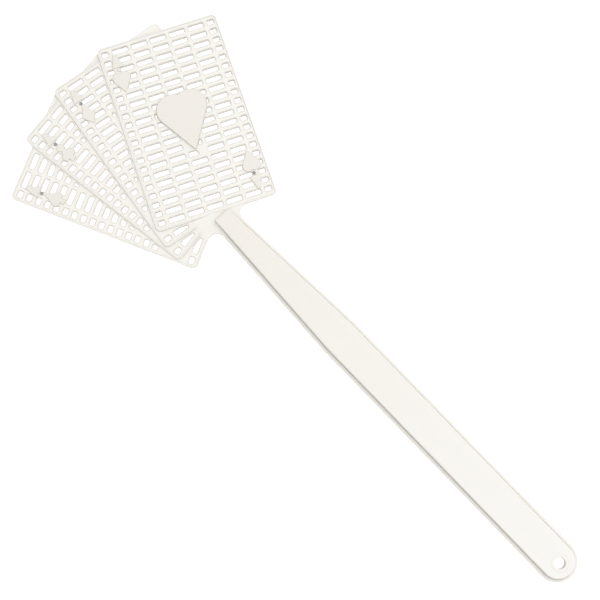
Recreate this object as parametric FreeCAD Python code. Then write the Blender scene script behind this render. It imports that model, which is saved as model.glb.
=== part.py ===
import FreeCAD, Part
import math
import os

# Fly swatter, millimetres. It lies on its back face, z = 0, front up.
# The origin is the centre of the hang hole and +Y runs along the handle to the head.
# The head is a fan of four perforated playing cards, the front card on top at the right.
# The whole object is one moulding: solids of one body meet face to face, never overlapping.

# ---- driving dimensions: handle ------------------------------------------------
PIVOT_Y = 306.5          # hang hole to the point the cards fan out from
BLOCK_GAP = 4.2          # fan point down to the squared end of the raised block
TAPER_L = 107.3          # length over which the handle narrows to that end
FLANGE_HALF = 13.35      # half width of the flange along the grip
FLANGE_HALF_END = 7.95   # half width of the flange at the block's upper end
LIP = 2.0                # flange left showing outside the raised block
TIP_CENTRE_Y = 1.65      # centre of the round end
FLANGE_T = 1.6           # flange and neck plate thickness
BLOCK_TOP = 4.5          # height of the raised block
PANEL_T = 1.5            # top skin of the block
WALL_T = 1.5             # side walls of the block
HOLE_R = 3.55            # hang hole
BOSS_WALL = 2.4          # wall of the boss round the hang hole
RIB_T = 1.2              # back ribs
RIB_LIFT = 0.4           # ribs stop this far above the back face
RIB_PITCH = 30.0         # spacing of the cross ribs
RIB_FIRST_Y = 34.0       # first cross rib

# ---- driving dimensions: flexing neck ------------------------------------------
FLEX_GAP = 14.3          # block's end down to the stretch that bends
FLEX_L = 32.0            # length of the stretch that bends
NECK_FILLET_R = 6.0      # hollow between the handle and each card's lower edge

# ---- driving dimensions: cards --------------------------------------------------
CARD_W = 80.6
CARD_TOP = 124.0         # upper edge, above the fan point
CARD_FOOT = 1.9          # lower edge, below the fan point
CARD_CORNER_R = 3.5
LEAN_INNER = 8.0         # lean of the two middle cards, degrees
LEAN_OUTER = 25.0        # lean of the two outer cards, degrees
REAR_T = 1.2             # rear card thickness
STEP_T = 0.4             # each card stands this much above the one behind it
RIM_W = 1.1
RIM_H = 0.3
RIM_CLEAR_HALF = 17.0    # no rim across the neck
RIM_CLEAR_Y = 6.0

# ---- driving dimensions: perforation ---------------------------------------------
SLOT_L = 9.8
SLOT_W = 2.8
SQUARE_L = 3.8
COLUMN_BAR = 3.0         # bar left between two slots of a row
ROW_PITCH = 6.1
EDGE_TO_SQUARE = 4.7     # card edge to the centre of the outer squares
EDGE_TO_ROW = 5.05       # card edge to the centre of the first row
STACK_MARGIN = 1.3       # solid strip kept beside the card in front
MARK_MARGIN = 0.35       # solid strip kept round a raised mark
MIN_HOLE_AREA = 2.2      # smaller leftovers of a cut slot are not moulded
COUNT_EASE = 0.02        # rounding room when whole slots are counted

# ---- driving dimensions: raised marks ---------------------------------------------
HEART_LOBE_R = 10.5
HEART_LOBE_X = 6.0
HEART_HALF_H = 20.0      # the big heart stands this far above and below the card's middle
HEART_H = 1.0
MARK_H = 0.5
MARK_INSET = 10.1        # card's side edge to the centre line of its corner marks
PIP_DROP = 26.0          # card's upper edge down to the pip's centre
PIP_HALF_H = 7.0
PIP_HALF_W = 4.6
PIP_HEART_HALF_W = 5.8
PAD_DROP = 6.7           # card's upper edge down to the head of the tapered pad
PAD_H = 9.0
PAD_FOOT_HALF = 3.6
PAD_HEAD_HALF = 0.9
GATE_DROP = 17.4         # card's upper edge down to the gate mark
GATE_R = 1.1
GATE_H = 0.5

# ---- proportions of the suit signs, as shares of the pip's half width or half height ----
CLUB_LOBE = 0.54
CLUB_SIDE_DROP = 0.3
SPADE_LOBE = 0.56
SPADE_LEAF_TOP = 0.62
SPADE_STEM_TOP = 0.1
STEM_TOP = 0.12
STEM_FOOT = 0.42

BLOCK_END_Y = PIVOT_Y - BLOCK_GAP
TAPER_Y = BLOCK_END_Y - TAPER_L
FLEX_Y1 = BLOCK_END_Y - FLEX_GAP
FLEX_Y0 = FLEX_Y1 - FLEX_L
SKIN_Z = BLOCK_TOP - PANEL_T
LEANS = (-LEAN_OUTER, -LEAN_INNER, LEAN_INNER, LEAN_OUTER)
CARD_MID = (CARD_TOP - CARD_FOOT) / 2
MARK_X = CARD_W / 2 - MARK_INSET
PIP_V = CARD_TOP - PIP_DROP
PAD_HEAD_V = CARD_TOP - PAD_DROP
PAD_FOOT_V = PAD_HEAD_V - PAD_H
GATE_V = CARD_TOP - GATE_DROP
SUITS = ("heart", "diamond", "club", "spade")
SLAB_T = 1.0             # thickness of the working slabs that flat shapes are fused as
LEAST_R = 0.5            # smallest corner radius of a drawn-in outline
CARD_NAMES = ("front", "second", "third", "rear")
CARD_Z = tuple(REAR_T + STEP_T * (3 - k) for k in range(4))


def vec(x, y, z=0.0):
    return FreeCAD.Vector(x, y, z)


def polygon(points):
    """Flat face through the points, at z = 0, facing up whichever way they run."""
    pairs = list(zip(points, points[1:] + points[:1]))
    if sum(a[0] * b[1] - b[0] * a[1] for a, b in pairs) < 0:
        points = points[::-1]
    return Part.Face(Part.makePolygon([vec(x, y) for x, y in points] + [vec(*points[0])]))


def disc(x, y, radius):
    return Part.Face(Part.Wire(Part.makeCircle(radius, vec(x, y))))


def rectangle(x0, y0, x1, y1):
    return polygon([(x0, y0), (x1, y0), (x1, y1), (x0, y1)])


def round_rectangle(x0, y0, x1, y1, radius):
    """Rectangle with its four corners rounded to an exact arc."""
    body = rectangle(x0, y0, x1, y1)
    for cx, cy, sx, sy in ((x0, y0, 1, 1), (x1, y0, -1, 1), (x1, y1, -1, -1), (x0, y1, 1, -1)):
        corner = rectangle(*sorted_box(cx, cy, cx + sx * radius, cy + sy * radius))
        body = body.cut(corner.cut(disc(cx + sx * radius, cy + sy * radius, radius)))
    return flat(body)


def sorted_box(xa, ya, xb, yb):
    return min(xa, xb), min(ya, yb), max(xa, xb), max(ya, yb)


def flat(shape):
    """The faces of a flat shape, as one face where there is only one."""
    faces = shape.removeSplitter().Faces
    return faces[0] if len(faces) == 1 else Part.makeCompound(faces)


def join(shapes):
    """Flat union: thin slabs are fused and the upper faces brought back to z = 0."""
    slabs = [f.extrude(vec(0, 0, SLAB_T)) for s in shapes for f in s.Faces]
    upper = [f for f in slabs[0].fuse(slabs[1:]).removeSplitter().Faces
             if f.BoundBox.ZMin > SLAB_T / 2]
    upper = [f.translated(vec(0, 0, -SLAB_T)) for f in upper]
    return upper[0] if len(upper) == 1 else Part.makeCompound(upper)


def raise_up(shape, z0, z1):
    """Solids that stand on a flat shape from z0 to z1."""
    solids = [f.translated(vec(0, 0, z0)).extrude(vec(0, 0, z1 - z0)) for f in shape.Faces]
    return solids[0] if len(solids) == 1 else Part.makeCompound(solids)


def save(name, shape):
    shape.exportStep("parts/" + name + ".step")


# ---- handle outlines ---------------------------------------------------------------
def flange_half(y):
    """Half width of the flange: constant on the grip, then a straight taper."""
    share = max(0.0, (y - TAPER_Y) / (BLOCK_END_Y - TAPER_Y))
    return FLANGE_HALF + (FLANGE_HALF_END - FLANGE_HALF) * share


def strip(y0, y1, inset):
    """Stretch of the handle's outline from y0 to y1, drawn in by inset."""
    levels = [y0] + [y for y in (TAPER_Y,) if y0 < y < y1] + [y1]
    right = [(flange_half(y) - inset, y) for y in levels]
    left = [(-x, y) for x, y in reversed(right)]
    return polygon(right + left)


def with_round_end(y1, inset):
    """Handle outline from its round end up to y1, drawn in by inset."""
    return join([strip(TIP_CENTRE_Y, y1, inset), disc(0, TIP_CENTRE_Y, FLANGE_HALF - inset)])


def build_handle():
    """The grip: flange, raised block as skin and walls, boss and back ribs."""
    hole = disc(0, 0, HOLE_R)
    boss = disc(0, 0, HOLE_R + BOSS_WALL)
    outline = with_round_end(FLEX_Y0, 0.0)
    block = with_round_end(FLEX_Y0, LIP)
    hollow = with_round_end(FLEX_Y0, LIP + WALL_T)
    reach = FLANGE_HALF + FLEX_Y0
    wall = block.cut(hollow)

    save("handle_flange", raise_up(outline.cut(hollow), 0, FLANGE_T))
    save("handle_panel", raise_up(block.cut(hole), SKIN_Z, BLOCK_TOP))
    zones = {
        "handle_wall_tip": rectangle(-reach, -reach, reach, TIP_CENTRE_Y),
        "handle_wall_left": rectangle(-reach, TIP_CENTRE_Y, 0, reach),
        "handle_wall_right": rectangle(0, TIP_CENTRE_Y, reach, reach),
    }
    for name, zone in zones.items():
        save(name, raise_up(wall.common(zone), FLANGE_T, SKIN_Z))
    save("hang_hole_boss", raise_up(boss.cut(hole), 0, SKIN_Z))

    spine = rectangle(-RIB_T / 2, HOLE_R + BOSS_WALL / 2, RIB_T / 2, FLEX_Y0).cut(boss)
    save("handle_centre_rib", raise_up(spine, RIB_LIFT, SKIN_Z))
    count = int((FLEX_Y0 - RIB_T - RIB_FIRST_Y) / RIB_PITCH) + 1
    for name, x0, x1 in (("left", -reach, -RIB_T / 2), ("right", RIB_T / 2, reach)):
        ribs = []
        for k in range(count):
            y = RIB_FIRST_Y + k * RIB_PITCH
            across = rectangle(x0, y - RIB_T / 2, x1, y + RIB_T / 2).common(hollow)
            ribs.append(raise_up(across, RIB_LIFT, SKIN_Z))
        save("handle_cross_ribs_" + name, Part.makeCompound(ribs))


def build_flexure():
    """The stretch of the channel that bends, flange, walls and skin in one."""
    hollow = strip(FLEX_Y0, FLEX_Y1, LIP + WALL_T)
    flange = raise_up(strip(FLEX_Y0, FLEX_Y1, 0.0), 0, FLANGE_T)
    block = raise_up(strip(FLEX_Y0, FLEX_Y1, LIP), FLANGE_T, BLOCK_TOP)
    bar = flange.fuse(block).cut(raise_up(hollow, 0, SKIN_Z))
    save("neck_flexure", bar.removeSplitter())


# ---- cards -----------------------------------------------------------------------------
def on_card(shape, k):
    """Moves a flat shape drawn in card axes to its place on card k."""
    placed = shape.copy()
    placed.rotate(vec(0, 0), vec(0, 0, 1), LEANS[k])
    placed.translate(vec(0, PIVOT_Y))
    return placed


def half_turn(shape):
    """The same mark at the opposite corner of the card."""
    turned = shape.copy()
    turned.rotate(vec(0, CARD_MID), vec(0, 0, 1), 180)
    return turned


def card_outline(k, grow=0.0):
    half = CARD_W / 2 + grow
    radius = max(CARD_CORNER_R + grow, LEAST_R)
    face = round_rectangle(-half, -CARD_FOOT - grow, half, CARD_TOP + grow, radius)
    return on_card(face, k)


def heart(lobe_r, lobe_x, top, tip):
    """Two round lobes and the straight flanks that run from them to the tip."""
    yc = top - lobe_r
    reach = math.hypot(lobe_x, yc - tip)
    turn = math.asin(lobe_r / reach)
    aim = math.atan2(yc - tip, lobe_x)
    length = math.sqrt(reach ** 2 - lobe_r ** 2)
    touch = (length * math.cos(aim - turn), tip + length * math.sin(aim - turn))
    lobes = [disc(-lobe_x, yc, lobe_r), disc(lobe_x, yc, lobe_r)]
    flanks = polygon([(0, tip), touch, (lobe_x, yc), (-lobe_x, yc), (-touch[0], touch[1])])
    return join(lobes + [flanks])


def stem(half, top, foot):
    """Stem of a club or spade, widening downwards."""
    head, base = half * STEM_TOP, half * STEM_FOOT
    return polygon([(-head, top), (head, top), (base, foot), (-base, foot)])


def pip(kind):
    """Card suit sign about its own centre."""
    w, h = PIP_HALF_W, PIP_HALF_H
    if kind == "heart":
        lobe = PIP_HEART_HALF_W * HEART_LOBE_R / (HEART_LOBE_R + HEART_LOBE_X)
        return heart(lobe, PIP_HEART_HALF_W - lobe, h, -h)
    if kind == "diamond":
        return polygon([(0, h), (-w, 0), (0, -h), (w, 0)])
    if kind == "club":
        lobe, low = w * CLUB_LOBE, -h * CLUB_SIDE_DROP
        discs = [disc(0, h - lobe, lobe), disc(lobe - w, low, lobe), disc(w - lobe, low, lobe)]
        return join(discs + [disc(0, 0, lobe), stem(w, 0, -h)])
    lobe = w * SPADE_LOBE
    leaf = heart(lobe, w - lobe, h * SPADE_LEAF_TOP, -h)
    leaf.rotate(vec(0, 0), vec(0, 0, 1), 180)
    return join([leaf, stem(w, -h * SPADE_STEM_TOP, -h)])


def corner_marks(k):
    """Pip, tapered pad and gate mark of card k's upper left corner, in card axes."""
    suit = pip(SUITS[k])
    suit.translate(vec(-MARK_X, PIP_V))
    pad = polygon([
        (-MARK_X - PAD_FOOT_HALF, PAD_FOOT_V), (-MARK_X + PAD_FOOT_HALF, PAD_FOOT_V),
        (-MARK_X + PAD_HEAD_HALF, PAD_HEAD_V), (-MARK_X - PAD_HEAD_HALF, PAD_HEAD_V),
    ])
    return suit, pad, disc(-MARK_X, GATE_V, GATE_R)


def marks_of(k):
    """All raised marks of card k as (name, flat shape in card axes, height)."""
    suit, pad, gate = corner_marks(k)
    if k > 0:
        return [("pip_" + SUITS[k], suit, MARK_H), ("index_pad_" + CARD_NAMES[k], pad, MARK_H),
                ("gate", gate, GATE_H)]
    marks = []
    for place, turn in (("upper", lambda s: s), ("lower", half_turn)):
        marks.append(("pip_heart_" + place, turn(suit), MARK_H))
        marks.append(("index_pad_front_" + place, turn(pad), MARK_H))
        marks.append(("gate", turn(gate), GATE_H))
    top, tip = CARD_MID + HEART_HALF_H, CARD_MID - HEART_HALF_H
    marks.append(("centre_heart", heart(HEART_LOBE_R, HEART_LOBE_X, top, tip), HEART_H))
    return marks


def slot_grid():
    """Every slot and square of a whole card, in card axes."""
    square_x = CARD_W / 2 - EDGE_TO_SQUARE
    pitch = SLOT_L + COLUMN_BAR
    side = int((square_x - (SQUARE_L + SLOT_L) / 2 - COLUMN_BAR) / pitch + COUNT_EASE)
    columns = [(c * pitch, SLOT_L) for c in range(-side, side + 1)]
    columns += [(-square_x, SQUARE_L), (square_x, SQUARE_L)]
    low, high = EDGE_TO_ROW - CARD_FOOT, CARD_TOP - EDGE_TO_ROW
    rows = int((high - low) / ROW_PITCH + COUNT_EASE) + 1
    first = (low + high - (rows - 1) * ROW_PITCH) / 2
    slots = []
    for r in range(rows):
        v = first + r * ROW_PITCH
        for u, length in columns:
            slots.append(rectangle(u - length / 2, v - SLOT_W / 2, u + length / 2, v + SLOT_W / 2))
    return slots


def card_faces(block):
    """Visible region of each card and the slots moulded through it."""
    faces = []
    for k in range(4):
        region = card_outline(k)
        zone = card_outline(k, -STACK_MARGIN)
        for front in range(k):
            region = region.cut(card_outline(front))
            zone = zone.cut(card_outline(front, STACK_MARGIN))
        region = region.cut(block)
        zone = zone.cut(block.makeOffset2D(STACK_MARGIN))
        for _, mark, _ in marks_of(k):
            zone = zone.cut(on_card(mark.makeOffset2D(MARK_MARGIN), k))
        slots = [on_card(s, k) for s in slot_grid()]
        kept = [f for f in Part.makeCompound(slots).common(zone).Faces if f.Area > MIN_HOLE_AREA]
        faces.append((region, kept))
    return faces


def build_cards(block):
    gates = []
    for k, (region, slots) in enumerate(card_faces(block)):
        save("card_" + CARD_NAMES[k], raise_up(region.cut(slots), 0, CARD_Z[k]))
        rim = card_outline(k).cut(card_outline(k, -RIM_W)).common(region)
        foot = rectangle(-RIM_CLEAR_HALF, 0, RIM_CLEAR_HALF, PIVOT_Y + RIM_CLEAR_Y)
        rim = rim.cut(foot)
        save("rim_" + CARD_NAMES[k], raise_up(rim, CARD_Z[k], CARD_Z[k] + RIM_H))
        for name, mark, height in marks_of(k):
            solid = raise_up(on_card(mark, k), CARD_Z[k], CARD_Z[k] + height)
            if name == "gate":
                gates.append(solid)
            else:
                save(name, solid)
    save("gate_marks", Part.makeCompound(gates))


# ---- neck ---------------------------------------------------------------------------------
def gusset():
    """Web on the right between the flange's side and the front card's lower edge."""
    slope = (FLANGE_HALF - FLANGE_HALF_END) / (BLOCK_END_Y - TAPER_Y)
    side_dir = vec(-slope, 1).normalize()
    side_out = vec(side_dir.y, -side_dir.x)
    lean = math.radians(-LEAN_OUTER)
    edge_dir = vec(math.cos(lean), math.sin(lean))
    edge_out = vec(edge_dir.y, -edge_dir.x)
    side_at = vec(flange_half(FLEX_Y1), FLEX_Y1)
    edge_at = vec(0, PIVOT_Y) + edge_out * CARD_FOOT
    corner = crossing(side_at, side_dir, edge_at, edge_dir)
    centre = crossing(side_at + side_out * NECK_FILLET_R, side_dir,
                      edge_at + edge_out * NECK_FILLET_R, edge_dir)
    on_side = centre - side_out * NECK_FILLET_R
    on_edge = centre - edge_out * NECK_FILLET_R
    web = polygon([(p.x, p.y) for p in (on_side, corner, on_edge, centre)])
    return web.cut(disc(centre.x, centre.y, NECK_FILLET_R))


def crossing(p, d, q, e):
    """Point where the line p + t d meets the line q + s e."""
    t = ((q.x - p.x) * e.y - (q.y - p.y) * e.x) / (d.x * e.y - d.y * e.x)
    return p + d * t


def build_neck(block):
    right = gusset()
    left = right.mirror(vec(0, 0), vec(1, 0, 0))
    hollow = strip(FLEX_Y1, BLOCK_END_Y - WALL_T, LIP + WALL_T)
    fan = join([card_outline(k) for k in range(4)]).cut(block)
    base = join([strip(FLEX_Y1, PIVOT_Y, 0.0), right, left])
    plate = base.cut(fan).cut(hollow)
    save("neck_plate", raise_up(plate, 0, FLANGE_T))
    save("neck_walls", raise_up(block.cut(hollow), FLANGE_T, SKIN_Z))
    save("neck_panel", raise_up(block, SKIN_Z, BLOCK_TOP))


def main():
    os.makedirs("parts", exist_ok=True)
    block = strip(FLEX_Y1, BLOCK_END_Y, LIP)
    build_handle()
    build_flexure()
    build_neck(block)
    build_cards(block)


main()
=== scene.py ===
import logging
import math
from dataclasses import dataclass, field
from enum import Enum
from typing import Callable, Sequence

import bpy
import numpy as np
from mathutils import Matrix, Vector
from mathutils.geometry import delaunay_2d_cdt


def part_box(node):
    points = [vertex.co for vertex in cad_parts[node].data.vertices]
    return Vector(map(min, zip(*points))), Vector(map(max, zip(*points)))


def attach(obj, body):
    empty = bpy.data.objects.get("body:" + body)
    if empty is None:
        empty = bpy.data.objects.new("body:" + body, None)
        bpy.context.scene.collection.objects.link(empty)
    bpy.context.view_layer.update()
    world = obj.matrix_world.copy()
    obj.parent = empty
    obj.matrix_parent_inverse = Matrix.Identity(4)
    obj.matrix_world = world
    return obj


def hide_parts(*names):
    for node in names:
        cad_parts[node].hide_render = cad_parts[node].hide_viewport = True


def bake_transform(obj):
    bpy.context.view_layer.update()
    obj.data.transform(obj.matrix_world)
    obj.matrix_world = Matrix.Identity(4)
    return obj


# A moulded plastic fly swatter: a long channel-section handle whose slender upper
# end bends, and a fan of four perforated playing cards as its head.
# Lengths in the classes are millimetres in the part's own frame: the origin is the
# hang hole's centre, +Y runs along the handle to the head and +Z is the front.

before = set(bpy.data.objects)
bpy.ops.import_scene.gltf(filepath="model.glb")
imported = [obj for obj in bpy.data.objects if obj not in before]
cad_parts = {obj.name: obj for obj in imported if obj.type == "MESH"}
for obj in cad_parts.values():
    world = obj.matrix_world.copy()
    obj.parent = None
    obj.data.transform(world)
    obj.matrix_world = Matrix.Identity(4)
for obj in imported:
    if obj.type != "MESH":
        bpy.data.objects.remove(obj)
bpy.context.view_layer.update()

Array = np.ndarray
Tree = bpy.types.NodeTree
Socket = bpy.types.NodeSocket
Value = float | tuple[float, ...] | Socket
Triple = tuple[float, float, float]

LOG = logging.getLogger("fly_swatter")
MM = 0.001
QUARTER = math.pi / 2
TINY = 1e-9                       # keeps a division from a zero
SLACK = 1e-6                      # rounding room in a comparison
SMOOTH_TURN = math.radians(25.0)  # a corner that turns less than this isn't rounded
ARC_STEP = math.radians(7.5)      # turn from point to point on a drawn arc
CORNER_STEP = math.radians(31.0)  # the same on small corners, which repeat by the hundred
SIDE_SHARE = 0.45                 # how much of a side the rounding of one corner may take
DISC_SHARE = 0.8                  # how much of the largest inner disc an inset may take
FACE_TONE = 0.45                  # painted edge shade that is left where a wall meets a flat face
WELD = 1e-5                       # points nearer than this are one, in mm
SNAP = 0.02                       # the same where shapes are cut by each other
MIX_FIRST, MIX_RESULT = 6, 2      # a Mix node's first colour input and its colour output


# ---- plan outlines ----
@dataclass
class Trace:
    """Closed loops in plan. Material lies on the left of each loop's direction.

    points is (n, 2) in mm, and following[i] is the index of the point after i.
    """

    points: Array
    following: Array

    def preceding(self) -> Array:
        """Index of the point before each point: the inverse of following."""
        before = np.empty_like(self.following)
        before[self.following] = np.arange(len(self.following))
        return before


@dataclass
class Outline(Trace):
    """A Trace with the exact outward unit normal at each point, for parallel offsets.

    room is the share of an inset that each point takes: less than 1 where the shape is
    too narrow for all of it.
    """

    normals: Array
    room: Array

    def reversed(self) -> "Outline":
        """The same loops run the other way, with the normals turned round."""
        return Outline(self.points, self.preceding(), -self.normals, self.room)

    def drawn_in(self, inset: float) -> Array:
        """Points of the parallel curve: point - inset * room * normal."""
        return self.points - inset * self.room[:, None] * self.normals

    def fitted(self, inset: float) -> "Outline":
        """The same outline with its room set so that an inset never crosses itself.

        The largest disc that touches the curve at p from inside has its centre at
        p - r n. A side with outward normal m, s away from p, stops it at
        r = s / (1 - n . m), and a corner d away at r = d . d / (-2 n . d). The room is
        DISC_SHARE r / inset, at most 1.

        Args:
            inset: the largest inset in mm that the outline will be drawn in by.

        Returns:
            The outline with its room.
        """
        p, n, q = self.points, self.normals, self.points[self.following]
        side = q - p
        long = np.maximum(np.linalg.norm(side, axis=1), TINY)
        along = side / long[:, None]
        m = np.stack([along[:, 1], -along[:, 0]], axis=1)
        d = p[None] - p[:, None]
        away = np.sum(d * m[None], axis=2)
        r = np.where(away > TINY, away / np.maximum(1 - n @ m.T, TINY), np.inf)
        centre = np.where(np.isfinite(r), r, 0.0)[..., None] * -n[:, None]
        t = np.sum((centre - d) * along[None], axis=2) / long[None]
        r = np.where((t >= 0) & (t <= 1), r, np.inf)
        ahead = -2 * np.sum(n[:, None] * d, axis=2)
        corner = np.where(ahead > TINY, np.sum(d * d, axis=2) / np.maximum(ahead, TINY), np.inf)
        least = np.minimum(r.min(axis=1), corner.min(axis=1))
        return Outline(p, self.following, n, np.minimum(DISC_SHARE * least / inset, 1.0))


def loop(points: Array) -> Trace:
    """One closed loop through the points, turned counter-clockwise.

    Args:
        points: (n, 2) corners in order.

    Returns:
        The loop as a Trace.
    """
    x, y = points.T
    if np.sum(x * np.roll(y, -1) - np.roll(x, -1) * y) < 0:
        points = points[::-1]
    return Trace(points.copy(), np.roll(np.arange(len(points)), -1))


def together(parts: Sequence[Trace]) -> Trace:
    """Several traces as one, with their indices moved along.

    Args:
        parts: traces or outlines, all of one kind.

    Returns:
        One Trace, or one Outline where every part has normals.
    """
    starts = np.cumsum([0] + [len(p.points) for p in parts[:-1]])
    points = np.concatenate([p.points for p in parts])
    following = np.concatenate([p.following + s for p, s in zip(parts, starts)])
    if all(isinstance(p, Outline) for p in parts):
        return Outline(points, following, np.concatenate([p.normals for p in parts]),
                       np.concatenate([p.room for p in parts]))
    return Trace(points, following)


def turned(vectors: Array, angles: Array) -> Array:
    """Plan vectors turned counter-clockwise: (x cos a - y sin a, x sin a + y cos a)."""
    c, s = np.cos(angles), np.sin(angles)
    x, y = vectors[..., 0], vectors[..., 1]
    return np.stack([x * c - y * s, x * s + y * c], axis=-1)


def softened(trace: Trace, radius: float, step: float = CORNER_STEP) -> Outline:
    """Rounds every sharp corner of a trace and gives each point its outward normal.

    At a corner with turn a, the arc starts r tan(|a|/2) before it. Its centre is
    p - d t + s r left(d), with s the turn's sign, and its points are
    centre + s r n(b), where n(b) is the right-hand normal of d turned by b from 0 to a.

    Args:
        trace: loops with material on their left.
        radius: corner radius in mm, less where a side is too short for it.
        step: largest turn between two points of an arc, in radians.

    Returns:
        The rounded Outline.
    """
    p, after, before = trace.points, trace.following, trace.preceding()
    side = p[after] - p
    length = np.linalg.norm(side, axis=1)
    out = side / length[:, None]
    into = out[before]
    turn = np.arctan2(into[:, 0] * out[:, 1] - into[:, 1] * out[:, 0],
                      np.sum(into * out, axis=1))
    sharp = np.abs(turn) > SMOOTH_TURN
    half_tan = np.tan(np.minimum(np.abs(turn), 3.0) / 2)
    room = SIDE_SHARE * np.minimum(length, length[before])
    r = np.where(sharp, np.minimum(radius, room / np.maximum(half_tan, SLACK)), 0.0)
    count = np.where(sharp, np.ceil(np.abs(turn) / step).astype(int) + 1, 1)
    start = np.cumsum(count) - count
    owner = np.repeat(np.arange(len(p)), count)
    k = np.arange(len(owner)) - start[owner]
    share = np.where(sharp[owner], k / np.maximum(count[owner] - 1, 1), 0.5)
    right = np.stack([into[:, 1], -into[:, 0]], axis=1)
    normals = turned(right[owner], turn[owner] * share)
    sign = np.sign(turn)
    centre = p - into * (r * half_tan)[:, None] - right * (sign * r)[:, None]
    points = centre[owner] + normals * (sign * r)[owner][:, None]
    points = np.where(sharp[owner][:, None], points, p[owner])
    last = k == count[owner] - 1
    following = np.where(last, start[after[owner]], np.arange(len(owner)) + 1)
    return Outline(points, following, normals, np.ones(len(points)))


def triangles(points: Array, edges: Array) -> Array:
    """Constrained Delaunay triangles of the material on the left of directed sides.

    A triangle that runs along a side is inside, and one that runs against it is outside.
    The others take the state of a neighbour, step by step.

    Args:
        points: (n, 2) plan points.
        edges: (m, 2) indices of the loops' sides, in their direction.

    Returns:
        Triangles as indices into points, turned counter-clockwise.
    """
    _, _, faces, origin, _, _ = delaunay_2d_cdt(
        [Vector(p) for p in points.tolist()], edges.tolist(), [], 0, WELD)
    back = np.array([ids[0] if ids else -1 for ids in origin])
    tri = back[np.array(faces, dtype=int).reshape(-1, 3)]
    tri = tri[(tri >= 0).all(axis=1)]
    n = len(points)
    code = tri * n + np.roll(tri, -1, axis=1)
    twin = np.roll(tri, -1, axis=1) * n + tri
    wall = edges[:, 0] * n + edges[:, 1]
    on_wall, off_wall = np.isin(code, wall), np.isin(twin, wall)
    state = np.where(on_wall.any(axis=1), 1, np.where(off_wall.any(axis=1), -1, 0))
    order = np.argsort(code.ravel())
    found = np.searchsorted(code.ravel()[order], twin.ravel()).clip(0, code.size - 1)
    met = code.ravel()[order][found] == twin.ravel()
    neighbour = np.where(met, order[found] // 3, -1).reshape(-1, 3)
    open_side = (neighbour >= 0) & ~on_wall & ~off_wall
    for _ in range(len(tri)):
        if not (state == 0).any():
            break
        heard = np.where(open_side, state[neighbour], 0).sum(axis=1)
        state = np.where(state == 0, np.sign(heard), state)
    return tri[state > 0]


def cut_out(keep: Sequence[Trace], away: Sequence[Trace] = (), overlap: bool = False) -> Trace:
    """Boolean of plan shapes: inside any (or every) shape of keep, and outside all of away.

    The plane is split by all the loops at once. A triangle is kept by the shapes that
    hold it, and the result's loops are the sides that have a kept triangle on one side.

    Args:
        keep: shapes to add up, or to take the overlap of.
        away: shapes to remove.
        overlap: True keeps only what lies in every shape of keep.

    Returns:
        The boundary as a Trace.
    """
    shapes = list(keep) + list(away)
    whole = together([Trace(s.points, s.following) for s in shapes])
    starts = np.cumsum([0] + [len(s.points) for s in shapes])
    faces = [list(range(a, b)) for a, b in zip(starts[:-1], starts[1:])]
    out, _, tris, _, _, owners = delaunay_2d_cdt(
        [Vector(p) for p in whole.points.tolist()], [], faces, 1, SNAP)
    points = np.array([tuple(v) for v in out])
    tri = np.array(tris, dtype=int)
    held = np.zeros((len(tri), len(shapes)), dtype=bool)
    rows = np.repeat(np.arange(len(tri)), [len(o) for o in owners])
    held[rows, np.concatenate([np.array(o, dtype=int) for o in owners])] = True
    wanted = held[:, :len(keep)]
    inside = wanted.all(axis=1) if overlap else wanted.any(axis=1)
    tri = tri[inside & ~held[:, len(keep):].any(axis=1)]
    sides = np.concatenate([tri[:, [0, 1]], tri[:, [1, 2]], tri[:, [2, 0]]])
    code = sides[:, 0] * len(points) + sides[:, 1]
    twin = sides[:, 1] * len(points) + sides[:, 0]
    sides = sides[~np.isin(code, twin)]
    following = np.empty(len(sides), dtype=int)
    following[np.argsort(sides[:, 1], kind="stable")] = np.argsort(sides[:, 0], kind="stable")
    return without_islands(without_short_sides(Trace(points[sides[:, 0]], following)))


def without_islands(trace: Trace, least: float = 30.0) -> Trace:
    """The loops, each in order along itself, without those under least square mm.

    Each point takes the lowest index on its loop as its label, by jumping ever further
    along it. A loop's area is half the sum of p x following(p). Its points are then put in
    order by their distance, in steps, from the point before the label.

    Args:
        trace: the loops.
        least: smallest area in square mm that a loop may enclose.

    Returns:
        The loops that are left.
    """
    own = np.arange(len(trace.points))
    rounds = range(len(own).bit_length())
    label, jump = own, trace.following
    for _ in rounds:
        label = np.minimum(label, label[jump])
        jump = jump[jump]
    p, q = trace.points, trace.points[trace.following]
    twice = p[:, 0] * q[:, 1] - q[:, 0] * p[:, 1]
    total = np.bincount(label, weights=twice, minlength=len(own)) / 2
    last = label[trace.following] == trace.following
    steps, jump = np.where(last, 0, 1), np.where(last, own, trace.following)
    for _ in rounds:
        steps = steps + steps[jump]
        jump = jump[jump]
    order = np.lexsort((-steps, label))
    order = order[np.abs(total[label[order]]) >= least]
    place = np.full(len(own), -1)
    place[order] = np.arange(len(order))
    return Trace(trace.points[order], place[trace.following[order]])


def without_short_sides(trace: Trace, least: float = 0.08) -> Trace:
    """The loops without the points that follow a short side.

    Args:
        trace: the loops.
        least: shortest side in mm.

    Returns:
        The loops that are left, after at most three rounds.
    """
    for _ in range(3):
        gap = np.linalg.norm(trace.points[trace.following] - trace.points, axis=1)
        short = gap < least
        drop = np.zeros(len(short), dtype=bool)
        drop[trace.following[short & ~short[trace.preceding()]]] = True
        if not drop.any():
            break
        after = trace.following
        after = np.where(drop[after], after[after], after)
        place = np.cumsum(~drop) - 1
        trace = Trace(trace.points[~drop], place[after[~drop]])
    return trace


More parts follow.
